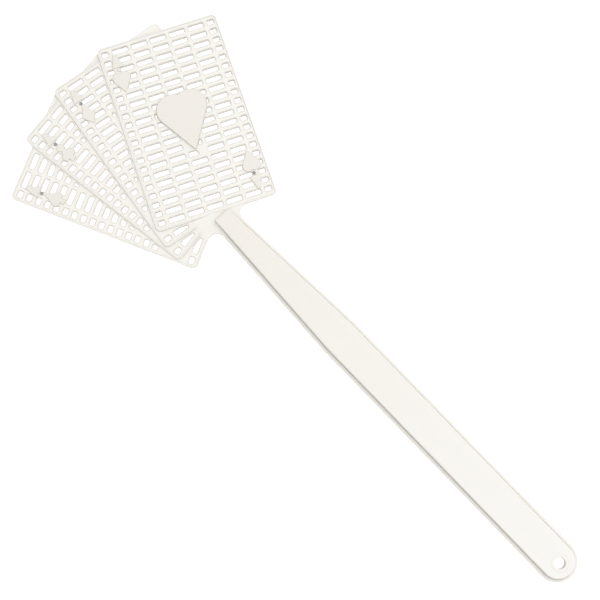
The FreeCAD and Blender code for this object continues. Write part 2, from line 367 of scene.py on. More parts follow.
def shouldered(trace: Trace, reach: float = 1.6) -> Trace:
    """The loops with two more points on each long side, reach from its ends.

    An outline that takes less room at a tight corner then has its full room again just
    after it, instead of only at the far end of the side.

    Args:
        trace: the loops.
        reach: distance in mm; a side is long where it is over three times as long.

    Returns:
        The loops with their new points.
    """
    side = trace.points[trace.following] - trace.points
    long = np.linalg.norm(side, axis=1)
    count = np.where(long > 3 * reach, 3, 1)
    start = np.cumsum(count) - count
    owner = np.repeat(np.arange(len(long)), count)
    k = np.arange(len(owner)) - start[owner]
    share = np.where(k == 0, 0.0, np.where(k == 1, reach, long[owner] - reach)) / long[owner]
    points = trace.points[owner] + share[:, None] * side[owner]
    last = k == count[owner] - 1
    following = np.where(last, start[trace.following[owner]], np.arange(len(owner)) + 1)
    return Trace(points, following)


def box_loop(x0: float, y0: float, x1: float, y1: float) -> Trace:
    """Rectangle from its two corners."""
    return loop(np.array([(x0, y0), (x1, y0), (x1, y1), (x0, y1)], dtype=float))


def disc_loop(x: float, y: float, radius: float, step: float = ARC_STEP) -> Trace:
    """Circle as points (x + r cos a, y + r sin a), a even steps round."""
    a = np.linspace(0, math.tau, round(math.tau / step), endpoint=False)
    return loop(np.stack([x + radius * np.cos(a), y + radius * np.sin(a)], axis=1))


def round_loop(radius: float) -> Outline:
    """Circle about the hang hole's centre as an Outline."""
    return softened(disc_loop(0, 0, radius), 0.1)


def placed(trace: Trace, lean: float, y: float) -> Trace:
    """A shape drawn in card axes, turned by lean degrees and moved up to y."""
    points = turned(trace.points, np.full(len(trace.points), math.radians(lean)))
    return Trace(points + np.array([0.0, y]), trace.following)


# ---- shells ----
@dataclass
class Level:
    """One line of a swept profile: its inset, height, normal's tilt and the strength of its painted
    edge shade.
    """

    inset: float
    z: float
    tilt: float
    # strength of the painted edge shade on this line of the profile
    edge: float = 0.0


def wall_levels(z0: float, z1: float, foot: float, top: float, draft: float = 0.0,
                steps: int = 2, fade: float = 0.0) -> list[Level]:
    """Profile of a wall with a rounded foot and a rounded upper edge.

    The foot is a quarter circle from (foot, z0) to (0, z0 + foot), and the upper edge a
    quarter circle from (draft, z1 - top) to (draft + top, z1); between them it is straight.

    Args:
        z0: lowest height in mm.
        z1: highest height in mm.
        foot: radius of the lower edge.
        top: radius of the upper edge.
        draft: how far the wall leans in over its height.
        steps: segments in each quarter circle.
        fade: width of the flat face over which the painted edge shade dies out.

    Returns:
        The levels from the bottom up.
    """
    a = np.linspace(0, QUARTER, steps + 1)
    # The edge values paint shade: none under the foot, full up the wall, dying out over the upper
    # rounded edge and, with fade, across a strip of the flat face.
    low = [Level(foot * (1 - math.sin(t)), z0 + foot * (1 - math.cos(t)), t - QUARTER,
                 math.sin(t)) for t in a]
    rest = FACE_TONE if fade else 0.0
    high = [Level(draft + top * (1 - math.cos(t)), z1 - top * (1 - math.sin(t)), t,
                  rest + (1 - rest) * math.cos(t)) for t in a]
    flat = [Level(draft + top + fade, z1, QUARTER)] if fade else []
    return low + high + flat


class Shell:
    """Collects swept walls and flat caps and makes one closed mesh of them."""

    def __init__(self) -> None:
        """Starts an empty shell."""
        self.points: list[Array] = []
        self.normals: list[Array] = []
        self.edge: list[Array] = []
        self.quads: list[Array] = []
        self.tris: list[Array] = []
        self.total = 0

    def add(self, points: Array, normals: Array, edge: Array) -> int:
        """Adds vertices and returns the index of the first."""
        first = self.total
        self.points.append(points)
        self.normals.append(normals)
        self.edge.append(edge)
        self.total += len(points)
        return first

    def sweep(self, outline: Outline, levels: Sequence[Level]) -> tuple[int, int]:
        """Carries a profile along an outline.

        S(i, j) = (p_i - inset_j room_i n_i, z_j), with normal (cos tilt_j n_i, sin tilt_j).

        Args:
            outline: the path, with its outward normals.
            levels: the profile from the bottom up.

        Returns:
            First vertex index of the lowest ring and of the highest ring.
        """
        n, m = len(outline.points), len(levels)
        inset, z, tilt, edge = (np.array([getattr(v, name) for v in levels])
                                for name in ("inset", "z", "tilt", "edge"))
        inward = (inset[:, None] * outline.room)[..., None] * outline.normals[None]
        flat = np.cos(tilt)[:, None, None] * outline.normals[None]
        points, normals = (
            np.concatenate([plan, np.broadcast_to(up[:, None, None], (m, n, 1))], axis=2)
            for plan, up in ((outline.points[None] - inward, z), (flat, np.sin(tilt))))
        first = self.add(points.reshape(-1, 3), normals.reshape(-1, 3), np.repeat(edge, n))
        i, j = np.meshgrid(np.arange(n), np.arange(m - 1))
        low, high = first + j * n, first + (j + 1) * n
        nxt = outline.following[i]
        quads = np.stack([low + i, low + nxt, high + nxt, high + i], axis=-1)
        self.quads.append(quads.reshape(-1, 4))
        return first, first + (m - 1) * n

    def cap(self, rings: Sequence[tuple[Outline, float, int]], z: float, up: bool,
            inner: Array | None = None, against: int = -1) -> None:
        """Closes a flat face between rings, on the left of their direction.

        Args:
            rings: for each ring its outline, its inset and its first vertex index.
            z: height of the face.
            up: True for a face that looks up.
            inner: extra plan points inside the face, so that it can bend.
            against: index of a ring whose right side the face lies on, or -1.
        """
        plan = [o.drawn_in(inset) for o, inset, _ in rings]
        starts = np.cumsum([0] + [len(p) for p in plan])
        index = [first + np.arange(len(p)) for p, (_, _, first) in zip(plan, rings)]
        sides = [np.stack([np.arange(len(o.points)), o.following], axis=1) for o, _, _ in rings]
        edges = np.concatenate([s[:, ::-1] + start if i == against else s + start
                                for i, (s, start) in enumerate(zip(sides, starts))])
        if inner is not None:
            normal = np.tile([0.0, 0.0, 1.0 if up else -1.0], (len(inner), 1))
            level = np.column_stack([inner, np.full(len(inner), z)])
            first = self.add(level, normal, np.zeros(len(inner)))
            plan.append(inner)
            index.append(first + np.arange(len(inner)))
        tri = triangles(np.concatenate(plan), edges)
        tri = np.concatenate(index)[tri]
        self.tris.append(tri if up else tri[:, ::-1])

    def slab(self, outline: Outline, levels: Sequence[Level],
             inner: Array | None = None) -> "Shell":
        """A plate: the swept wall closed by a face at its top and one at its foot."""
        low, high = self.sweep(outline, levels)
        self.cap([(outline, levels[-1].inset, high)], levels[-1].z, True, inner)
        self.cap([(outline, levels[0].inset, low)], levels[0].z, False, inner)
        return self

    def reshape(self, height: Callable[..., Array]) -> "Shell":
        """Moves every vertex up or down: z becomes height(x, y, z), as whole arrays."""
        points = np.concatenate(self.points)
        points[:, 2] = height(points[:, 0], points[:, 1], points[:, 2])
        self.points = [points]
        return self

    def piece(self, name: str) -> bpy.types.Object:
        """Makes a mesh of the shell, with its shading normals and the edge attribute that sets the
        strength of its painted edge shade.

        Args:
            name: the piece's name.

        Returns:
            The new object in metres, linked to the scene.
        """
        points = np.concatenate(self.points) * MM
        mesh = bpy.data.meshes.new(name)
        faces = [f for part in self.quads + self.tris for f in part.tolist()]
        mesh.from_pydata(points.tolist(), [], faces)
        mesh.polygons.foreach_set("use_smooth", np.ones(len(mesh.polygons), dtype=bool))
        attribute = mesh.attributes.new("edge", "FLOAT", "POINT")
        attribute.data.foreach_set("value", np.concatenate(self.edge).astype(np.float32))
        mesh.update()
        mesh.normals_split_custom_set_from_vertices(np.concatenate(self.normals).tolist())
        thing = bpy.data.objects.new(name, mesh)
        bpy.context.scene.collection.objects.link(thing)
        LOG.info("%s: %d vertices, %d faces", name, len(mesh.vertices), len(mesh.polygons))
        return thing


# ---- finishes ----
class Slot(Enum):
    """The record's material slots."""

    PLASTIC = "white_plastic"
    GRIP_FACE = "handle_face"
    RAISED = "raised_marks"
    # painted shadow: dark dots that stand for the shade inside small pits
    GATE = "gate_scar"


def socket_group(name: str, inputs: dict[str, float], outputs: Sequence[str]) -> Tree:
    """Starts a shader node group with float inputs and outputs.

    Args:
        name: the group's name.
        inputs: input names and their first values.
        outputs: output names.

    Returns:
        The empty group, with its input and output nodes in place.
    """
    group = bpy.data.node_groups.new(name, "ShaderNodeTree")
    for label, value in inputs.items():
        made = group.interface.new_socket(label, in_out="INPUT", socket_type="NodeSocketFloat")
        made.default_value = value
    for label in outputs:
        group.interface.new_socket(label, in_out="OUTPUT", socket_type="NodeSocketFloat")
    group.nodes.new("NodeGroupInput").name = "in"
    group.nodes.new("NodeGroupOutput").name = "out"
    return group


def feed(tree: Tree, value: Value, socket: Socket) -> None:
    """Links an input to another socket, or sets its own value."""
    if isinstance(value, Socket):
        tree.links.new(value, socket)
    else:
        socket.default_value = value


def maths(tree: Tree, operation: str, *values: Value) -> Socket:
    """A Math node fed with sockets or numbers, as its result socket."""
    node = tree.nodes.new("ShaderNodeMath")
    node.operation = operation
    for value, socket in zip(values, node.inputs):
        feed(tree, value, socket)
    return node.outputs[0]


def noise(tree: Tree, vector: Socket, scale: Value, detail: float,
          stretch: Triple = (1.0, 1.0, 1.0)) -> Socket:
    """Noise that varies between 0 and 1 over a surface.

    Args:
        tree: where the nodes are made.
        vector: the place it is read at.
        scale: patches per metre.
        detail: octaves of finer noise.
        stretch: scale of each axis before the noise.

    Returns:
        The noise's factor socket.
    """
    mapping = tree.nodes.new("ShaderNodeMapping")
    mapping.inputs["Scale"].default_value = stretch
    tree.links.new(vector, mapping.inputs["Vector"])
    node = tree.nodes.new("ShaderNodeTexNoise")
    node.inputs["Detail"].default_value = detail
    tree.links.new(mapping.outputs["Vector"], node.inputs["Vector"])
    feed(tree, scale, node.inputs["Scale"])
    return node.outputs["Fac"]


def object_place(tree: Tree) -> Socket:
    """Object coordinates, in metres."""
    return tree.nodes.new("ShaderNodeTexCoord").outputs["Object"]


def mould_grain() -> Tree:
    """Group: fine spark-eroded grain and the long faint flow lines of a moulding.

    Inputs are the grain's scale per metre, its strength and the flow lines' strength.
    Height = grain * Grain + (0.6 * flow + waves) * Flow, for bump. Roughness is an offset
    about zero: a tenth of grain + flow - 1.
    """
    group = socket_group("mould_grain", {"Scale": 2600.0, "Grain": 1.0, "Flow": 1.0},
                         ("Height", "Roughness"))
    given, out = group.nodes["in"].outputs, group.nodes["out"]
    place = object_place(group)
    fine = noise(group, place, given["Scale"], detail=3.0)
    flow = noise(group, place, scale=60.0, detail=2.0, stretch=(1.0, 0.12, 1.0))
    waves = noise(group, place, scale=45.0, detail=1.0)
    height = maths(group, "MULTIPLY", fine, given["Grain"])
    long_waves = maths(group, "ADD", maths(group, "MULTIPLY", flow, 0.6), waves)
    height = maths(group, "ADD", height, maths(group, "MULTIPLY", long_waves, given["Flow"]))
    spread = maths(group, "ADD", maths(group, "SUBTRACT", fine, 0.5),
                   maths(group, "SUBTRACT", flow, 0.5))
    group.links.new(height, out.inputs["Height"])
    group.links.new(maths(group, "MULTIPLY", spread, 0.10), out.inputs["Roughness"])
    return group


def edge_tone() -> Tree:
    """Group: painted shade on walls, the feet of walls and rounded edges, where less light reaches.
    Output 0 to 1.

    The mask is the edge attribute times 0.7 + 0.6 * noise times the amount.
    """
    group = socket_group("edge_tone", {"Amount": 1.0}, ("Mask",))
    edge = group.nodes.new("ShaderNodeAttribute")
    edge.attribute_name = "edge"
    broken = noise(group, object_place(group), scale=700.0, detail=3.0)
    uneven = maths(group, "MULTIPLY_ADD", broken, 0.6, 0.7)
    mask = maths(group, "MULTIPLY", edge.outputs["Fac"], uneven)
    mask = maths(group, "MULTIPLY", mask, group.nodes["in"].outputs["Amount"])
    limit = maths(group, "MINIMUM", mask, 1.0)
    group.links.new(limit, group.nodes["out"].inputs["Mask"])
    return group


def handling_tone() -> Tree:
    """Group: slow drift of tone, as unpigmented resin and handling leave, and painted shade along
    the handle. Output 0 to 1.

    The mask is the clouds and specks times Amount, plus the second input times the distance from
    the
    hang hole in metres: painted shade that darkens the face towards the neck, where less light
    falls.
    """
    group = socket_group("handling_tone", {"Amount": 1.0, "Along": 0.0}, ("Mask",))
    given = group.nodes["in"].outputs
    place = object_place(group)
    axes = group.nodes.new("ShaderNodeSeparateXYZ")
    group.links.new(place, axes.inputs[0])
    clouds = noise(group, place, scale=22.0, detail=3.0)
    specks = noise(group, place, scale=900.0, detail=1.0)
    speck = maths(group, "GREATER_THAN", specks, 0.76)
    mask = maths(group, "ADD", clouds, maths(group, "MULTIPLY", speck, 0.5))
    mask = maths(group, "MULTIPLY", mask, given["Amount"])
    along = maths(group, "MULTIPLY", axes.outputs["Y"], given["Along"])
    held = maths(group, "MINIMUM", maths(group, "ADD", mask, along), 1.0)
    group.links.new(maths(group, "MAXIMUM", held, 0.0), group.nodes["out"].inputs["Mask"])
    return group


def mixed(tree: Tree, share: Socket, a: Value, b: Value) -> Socket:
    """A colour Mix node between two colours or sockets, as its result socket."""
    node = tree.nodes.new("ShaderNodeMix")
    node.data_type = "RGBA"
    tree.links.new(share, node.inputs["Factor"])
    for value, socket in zip((a, b), node.inputs[MIX_FIRST:]):
        feed(tree, value if isinstance(value, Socket) else (*value, 1.0), socket)
    return node.outputs[MIX_RESULT]


@dataclass(frozen=True)
class PlasticFinish:
    """Satin moulded plastic: its colours, gloss and the strength of each surface effect."""

    name: str
    colour: Triple
    # second colour of the tone drift; on the grip also the darker colour of the painted shade
    # towards the neck
    shade: Triple
    # colour of the painted edge shade
    edge: Triple
    roughness: float
    grain: float = 1.0
    flow: float = 1.0
    # strength of the painted edge shade
    rim: float = 0.8
    drift: float = 1.0
    # painted shade per metre towards the neck, for the light that falls off there
    along: float = 0.0
    glow: float = 0.12

    def material(self, groups: dict[str, Tree]) -> bpy.types.Material:
        """Builds the material.

        Args:
            groups: the shared node groups by name.

        Returns:
            A node material with a Principled shader.
        """
        made = bpy.data.materials.new(self.name)
        made.use_nodes = True
        tree = made.node_tree
        shader = tree.nodes["Principled BSDF"]
        uses = {}
        for key, inputs in (("mould_grain", {"Grain": self.grain, "Flow": self.flow}),
                            ("edge_tone", {"Amount": self.rim}),
                            ("handling_tone", {"Amount": self.drift, "Along": self.along})):
            uses[key] = tree.nodes.new("ShaderNodeGroup")
            uses[key].node_tree = groups[key]
            for label, value in inputs.items():
                uses[key].inputs[label].default_value = value
        # Tone drift, with painted shade towards the neck where along is set, then the painted edge
        # shade mixed over it.
        drift = mixed(tree, uses["handling_tone"].outputs["Mask"], self.colour, self.shade)
        final = mixed(tree, uses["edge_tone"].outputs["Mask"], drift, self.edge)
        tree.links.new(final, shader.inputs["Base Color"])
        rough = maths(tree, "ADD", uses["mould_grain"].outputs["Roughness"], self.roughness)
        tree.links.new(rough, shader.inputs["Roughness"])
        bump = tree.nodes.new("ShaderNodeBump")
        bump.inputs["Strength"].default_value = 0.35
        bump.inputs["Distance"].default_value = 0.00006
        tree.links.new(uses["mould_grain"].outputs["Height"], bump.inputs["Height"])
        tree.links.new(bump.outputs["Normal"], shader.inputs["Normal"])
        for label, value in {"IOR": 1.49, "Subsurface Weight": self.glow,
                             "Subsurface Radius": (1.0, 0.9, 0.75),
                             "Subsurface Scale": 0.0012}.items():
            shader.inputs[label].default_value = value
        return made


# In every finish the edge colour is painted edge shade at walls and rounded edges.
FINISHES = {
    Slot.PLASTIC: PlasticFinish(
        "satin_white", colour=(0.92, 0.898, 0.852), shade=(0.90, 0.874, 0.822),
        edge=(0.58, 0.55, 0.515), roughness=0.42),
    # The grip's colour is its lit tip and its shade the painted shade towards the neck, where less
    # light falls.
    Slot.GRIP_FACE: PlasticFinish(
        "grip_white", colour=(0.908, 0.903, 0.875), shade=(0.862, 0.83, 0.772),
        edge=(0.49, 0.46, 0.425), roughness=0.36, grain=0.7, flow=1.4, rim=0.9,
        along=2.6, drift=0.35),
    # A darker cream copy of the white plastic: painted shade for the thicker raised marks, which
    # let less light through.
    Slot.RAISED: PlasticFinish(
        "raised_cream", colour=(0.865, 0.83, 0.78), shade=(0.845, 0.805, 0.752),
        edge=(0.50, 0.455, 0.40), roughness=0.45, grain=0.8, rim=0.7),
    # Painted shadow: the dark grey disc stands for the shade inside a small pit.
    Slot.GATE: PlasticFinish(
        "gate_grey", colour=(0.38, 0.375, 0.365), shade=(0.30, 0.295, 0.285),
        edge=(0.26, 0.255, 0.245), roughness=0.65, grain=2.5, rim=0.6, glow=0.0),
}


@dataclass
class Workshop:
    """Hands out the finishes and settles each piece on its body, slot and CAD nodes."""

    materials: dict[Slot, bpy.types.Material] = field(default_factory=dict)

    def open(self) -> None:
        """Builds the shared groups and one material per slot."""
        groups = {group.name: group for group in (mould_grain(), edge_tone(), handling_tone())}
        self.materials = {slot: finish.material(groups) for slot, finish in FINISHES.items()}

    def settle(self, shell: Shell, name: str, slot: Slot, body: str,
               *nodes: str) -> bpy.types.Object:
        """Makes a shell a piece, dresses it, and rides it on its body.

        Args:
            shell: the piece's surface.
            name: the piece's name.
            slot: the material slot it is dressed from.
            body: the body it rides on, or "" for a piece that spans the joint and is put on no
                body.
            nodes: the CAD nodes it stands for.

        Returns:
            The finished piece.
        """
        piece = shell.piece(name)
        piece.data.materials.append(self.materials[slot])
        if body:
            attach(piece, body)
        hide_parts(*nodes)
        return piece


# ---- handle ----
def span(node: str) -> tuple[Array, Array]:
    """Lowest and highest corner of a CAD node at rest, in mm."""
    low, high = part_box(node)
    return np.array(low) / MM, np.array(high) / MM


@dataclass
class Handle:
    """Flange, raised channel block, hang-hole boss and back ribs, from the tip to the neck."""

    taper_y: float = 195.0
    flange_half: float = 13.35
    flange_half_end: float = 7.95
    tip_y: float = 1.65
    lip: float = 2.0
    wall: float = 1.5
    hole_r: float = 3.55
    boss_r: float = 5.95
    rib: float = 1.2
    rib_first: float = 34.0
    rib_pitch: float = 30.0
    pivot_y: float = 306.5
    card_foot: float = 1.9
    outer_lean: float = 25.0
    neck_r: float = 6.0
    block_round: float = 0.7
    block_draft: float = 0.5
    block_corner: float = 0.9
    block_foot: float = 0.22
    wall_sink: float = 0.12     # how far the block's walls reach into the flange
    fit: float = 0.02           # clearance between the two pieces in the channel
    rib_sink: float = 0.1       # how far the ribs reach into skin and walls
    flange_round: float = 0.42
    flange_corner: float = 0.6
    bend_step: float = 2.0      # between rows of points where the neck bends
    bend_margin: float = 4.0    # rows beyond each end of that stretch
    pad_reach: float = 19.3     # how far left the solid corner runs
    web_top: float = 2.41       # a hair above the front card's face
    web_run: float = 10.0       # length over which the web rises to that
    web_dive: float = 0.35      # how deep it dives into the front card
    web_fall: float = 1.2       # how far it falls to the rear card's face
    web_fall_y: float = 294.0   # where along the handle that fall begins
    web_left: float = 15.0      # where across it that fall begins
    web_left_run: float = 4.3   # width of the fall

    def __post_init__(self) -> None:
        """Reads the heights and ends that the CAD nodes set."""
        self.flange_top = span("handle_flange")[1][2]
        low, high = span("handle_panel")
        self.skin_z, self.block_top = low[2], high[2]
        low, high = span("neck_flexure")
        self.flex_y0, self.flex_y1 = low[1], high[1]
        self.block_end = span("neck_panel")[1][1]
        self.rib_z = span("handle_centre_rib")[0][2]

    def half(self, y: Array) -> Array:
        """Half width of the flange: constant on the grip, then a straight taper."""
        share = np.clip((y - self.taper_y) / (self.block_end - self.taper_y), 0.0, None)
        return self.flange_half + (self.flange_half_end - self.flange_half) * share

    def strip(self, y0: float, y1: float, inset: float) -> Trace:
        """The handle from y0 to y1, drawn in by inset, with extra points where it bends."""
        y = np.unique(np.clip([y0, y1, *self.bend_rows(), self.taper_y], y0, y1))
        x = self.half(y) - inset
        return loop(np.concatenate([np.stack([x, y], axis=1), np.stack([-x, y], axis=1)[::-1]]))

    def bend_rows(self) -> Array:
        """Heights y of the rows of points across the bending stretch."""
        return np.arange(self.flex_y0 - self.bend_margin, self.flex_y1 + self.bend_margin,
                         self.bend_step)

    def bar(self, y1: float, inset: float) -> Trace:
        """The handle's outline from its round end up to y1, drawn in by inset."""
        return cut_out([self.strip(self.tip_y, y1, inset),
                        disc_loop(0, self.tip_y, self.flange_half - inset, math.radians(5))])

    def gusset(self) -> Trace:
        """Web on the right between the flange's side and the front card's lower edge.

        Its free side is an arc of neck_r that touches both: the centre is where the two
        sides, each moved out by neck_r, cross.
        """
        slope = (self.flange_half - self.flange_half_end) / (self.block_end - self.taper_y)
        side = np.array([-slope, 1.0]) / math.hypot(slope, 1.0)
        side_out = np.array([side[1], -side[0]])
        lean = math.radians(self.outer_lean)
        edge = np.array([math.cos(lean), -math.sin(lean)])
        edge_out = np.array([edge[1], -edge[0]])
        side_at = np.array([float(self.half(np.array(self.flex_y1))), self.flex_y1])
        edge_at = np.array([0.0, self.pivot_y]) + edge_out * self.card_foot
        corner = crossing(side_at, side, edge_at, edge)
        centre = crossing(side_at + side_out * self.neck_r, side,
                          edge_at + edge_out * self.neck_r, edge)
        a, b = (np.arctan2(-out[1], -out[0]) for out in (side_out, edge_out))
        sweep = (b - a + math.pi) % math.tau - math.pi
        angles = a + sweep * np.linspace(0, 1, 14)
        arc = centre + self.neck_r * np.stack([np.cos(angles), np.sin(angles)], axis=1)
        overlap, run_on = 1.0, 3.0
        inside = np.array([corner + np.array([-overlap, run_on + 0.2])])
        start = arc[:1] - side_out * overlap
        finish = arc[-1:] + edge * run_on - edge_out * overlap
        return loop(np.concatenate([arc, finish, inside, start]))

    def pad(self) -> Trace:
        """Solid corner of the fan's foot on the left, where the cards' lower edges fan out."""
        lean, far, margin = math.radians(self.outer_lean), self.pad_reach, 0.4
        low = self.pivot_y - (self.card_foot - margin) / math.cos(lean)
        return loop(np.array([(0.0, low), (-far, low - far * math.tan(lean)),
                              (-far, low + far * math.tan(lean)), (0.0, low + 1.5)]))

    def web_height(self, x: Array, y: Array, z: Array) -> Array:
        """Height of the flange and neck web.

        The upper face rises from the flange to the front card's face over the neck, dives
        into the card past its lower edge, and falls to the rear card's face at the left.
        Every height is scaled by that face's height over the flange's.

        Args:
            x: across the handle, in mm.
            y: along it, in mm.
            z: height on the flat flange, in mm.

        Returns:
            The new heights.
        """
        lean = math.radians(-self.outer_lean)
        v = -x * math.sin(lean) + (y - self.pivot_y) * math.cos(lean)
        rise = smooth((y - self.flex_y1) / self.web_run)
        left = smooth((-x - self.web_left) / self.web_left_run)
        face = self.flange_top + (self.web_top - self.flange_top) * rise
        face = face - self.web_dive * smooth(v + self.card_foot - 0.8)
        face = face - self.web_fall * left * smooth((y - self.web_fall_y) / 3)
        return z * face / self.flange_top

    def flange(self) -> Shell:
        """The flat flange with its neck web, open down the middle of the channel."""
        right, step, draft = self.gusset(), 1.5, 0.05
        flipped = loop(right.points * np.array([-1.0, 1.0]))
        bridge = box_loop(-3.0, self.block_end, 3.0, self.block_end + 3.1)
        plan = cut_out([self.bar(self.block_end + 1.5, 0.0), right, flipped, self.pad(), bridge],
                       [self.bar(self.block_end - self.wall, self.lip + self.wall)])
        outline = softened(plan, self.flange_corner).fitted(self.flange_round + draft)
        gx, gy = np.meshgrid(np.arange(-20, 18, step),
                             np.arange(self.flex_y1 - 2, self.pivot_y + 8, step))
        inner = inside_points(np.stack([gx.ravel(), gy.ravel()], axis=1), outline, 0.6)
        levels = wall_levels(0.0, self.flange_top, 0.25, self.flange_round, draft)
        return Shell().slab(outline, levels, inner).reshape(self.web_height)

    def block(self) -> Shell:
        """The raised block: drafted sides, rounded upper edge, and a hollow from behind."""
        outer = softened(self.bar(self.block_end, self.lip), self.block_corner, math.radians(15))
        outer = outer.fitted(self.block_draft + self.block_round)
        hollow = softened(self.bar(self.block_end - self.wall - self.fit,
                                   self.lip + self.wall + self.fit), 0.8).reversed()
        hole = round_loop(self.hole_r + 0.6).reversed()
        base, corner = self.flange_top - self.wall_sink, 0.3
        # Painted shade: strongest in the hollow at the block's foot and up its wall, dying out over
        # its upper rounded edge.
        foot, r, foot_tone, top_tone = self.block_foot, self.block_round, 0.6, 0.8
        levels = [Level(-foot, base, -QUARTER, foot_tone),
                  Level(-foot, base + self.fit, 0.0, foot_tone)]
        levels += [Level(-foot * (1 - math.sin(t)), self.flange_top + foot * (1 - math.cos(t)),
                         QUARTER - t, foot_tone + (1 - foot_tone) * math.sin(t))
                   for t in np.linspace(0, QUARTER, 4)]
        levels += [Level(self.block_draft + r * (1 - math.cos(t)),
                         self.block_top - r * (1 - math.sin(t)), t, top_tone * math.cos(t) ** 3)
                   for t in np.linspace(0, QUARTER, 6)]
        shell = Shell()
        low, high = shell.sweep(outer, levels)
        hollow_low, hollow_high = shell.sweep(hollow, [
            Level(0.0, base, -QUARTER), Level(0.0, base + self.fit, 0.0),
            Level(0.0, self.skin_z - corner, 0.0), Level(-corner, self.skin_z, -QUARTER)])
        hole_low, hole_high = shell.sweep(hole, [Level(0.0, self.skin_z, -QUARTER),
                                                 Level(0.0, self.block_top, QUARTER)])
        strip = self.bend_grid(self.flange_half - self.lip - 3.4)
        shell.cap([(outer, levels[-1].inset, high), (hole, 0.0, hole_high)], self.block_top,
                  True, inside_points(strip, outer, 2.2))
        shell.cap([(hollow, -corner, hollow_high), (hole, 0.0, hole_low)], self.skin_z,
                  False, inside_points(strip, hollow.reversed(), 1.0), against=0)
        shell.cap([(outer, -foot, low), (hollow, 0.0, hollow_low)], base, False)
        return shell

    def bend_grid(self, half: float) -> Array:
        """Plan points across the bending stretch, so that its faces can curve."""
        x, y = np.meshgrid(np.linspace(-half, half, 5), self.bend_rows())
        return np.stack([x.ravel(), y.ravel()], axis=1)

    def boss(self) -> Shell:
        """The tube round the hang hole, with softened lips; it stands a hair above the block."""
        ring = together([round_loop(self.boss_r - 0.3), round_loop(self.hole_r).reversed()])
        proud = 0.07
        return Shell().slab(ring, wall_levels(0.0, self.block_top + proud, 0.25, 0.35, 0.03, 3))

    def centre_rib(self) -> Shell:
        """The spine on the back, from the boss to where the bending stretch begins."""
        plan = box_loop(-self.rib / 2, self.boss_r - 0.8, self.rib / 2, self.flex_y0 - 0.5)
        levels = wall_levels(self.rib_z, self.skin_z + self.rib_sink, 0.25, 0.05)
        return Shell().slab(softened(plan, 0.3), levels)

    def cross_ribs(self, side: int) -> Shell:
        """The cross ribs on one side of the spine, cut to the channel's width.

        Args:
            side: -1 for the left ribs, 1 for the right ones.

        Returns:
            The ribs as one shell.
        """
        count = int((self.flex_y0 - self.rib - self.rib_first) / self.rib_pitch) + 1
        y = self.rib_first + self.rib_pitch * np.arange(count)
        reach = self.half(y) - self.lip - self.wall + self.rib_sink
        bars = []
        for v, r in zip(y.tolist(), reach.tolist()):
            x0, x1 = sorted((side * 0.3, side * r))
            bars.append(softened(box_loop(x0, v - self.rib / 2, x1, v + self.rib / 2), 0.3))
        levels = wall_levels(self.rib_z, self.skin_z + self.rib_sink, 0.22, 0.05)
        return Shell().slab(together(bars), levels)

    def build(self, shop: Workshop) -> None:
        """Makes the handle's pieces and settles them.

        Args:
            shop: what dresses them and puts them on their bodies.
        """
        flange = shop.settle(self.flange(), "handle_flange_and_neck_web", Slot.PLASTIC, "",
                             "handle_flange", "neck_plate")
        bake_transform(flange)
        block = shop.settle(self.block(), "handle_raised_block", Slot.GRIP_FACE, "",
                            "handle_panel", "handle_wall_left", "handle_wall_right",
                            "handle_wall_tip", "neck_flexure", "neck_panel", "neck_walls")
        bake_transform(block)
        for shell, name, node in (
                (self.boss(), "hang_hole_boss_tube", "hang_hole_boss"),
                (self.centre_rib(), "back_centre_rib", "handle_centre_rib"),
                (self.cross_ribs(-1), "back_cross_ribs_left", "handle_cross_ribs_left"),
                (self.cross_ribs(1), "back_cross_ribs_right", "handle_cross_ribs_right")):
            shop.settle(shell, name, Slot.PLASTIC, "handle", node)


def smooth(t: Array) -> Array:
    """Smooth step: 3 t^2 - 2 t^3 with t held between 0 and 1."""
    t = np.clip(t, 0.0, 1.0)
    return t * t * (3 - 2 * t)


def crossing(p: Array, d: Array, q: Array, e: Array) -> Array:
    """Point where the line p + t d meets the line q + s e."""
    w = q - p
    return p + d * (w[0] * e[1] - w[1] * e[0]) / (d[0] * e[1] - d[1] * e[0])


def inside_points(points: Array, outline: Trace, margin: float) -> Array:
    """The points that lie inside an outline, by crossing number, and clear of it.

    Args:
        points: (n, 2) plan points.
        outline: the loops.
        margin: least distance in mm from the outline.

    Returns:
        The points that are left.
    """
    a, b = outline.points, outline.points[outline.following]
    px, py = points[:, 0][:, None], points[:, 1][:, None]
    spans = (a[:, 1] > py) != (b[:, 1] > py)
    rise = np.where(b[:, 1] == a[:, 1], 1.0, b[:, 1] - a[:, 1])
    hit = spans & (px < (b[:, 0] - a[:, 0]) * (py - a[:, 1]) / rise + a[:, 0])
    inside = hit.sum(axis=1) % 2 == 1
    d = b - a
    run = (px - a[:, 0]) * d[:, 0] + (py - a[:, 1]) * d[:, 1]
    t = np.clip(run / np.maximum((d ** 2).sum(1), TINY ** 2), 0, 1)
    gap = np.hypot(px - a[:, 0] - t * d[:, 0], py - a[:, 1] - t * d[:, 1]).min(axis=1)
    return points[inside & (gap > margin)]


# ---- head ----
class Suit(Enum):
    """Suit sign of each card, from the front card to the rear one."""

    HEART = 0
    DIAMOND = 1
    CLUB = 2
    SPADE = 3


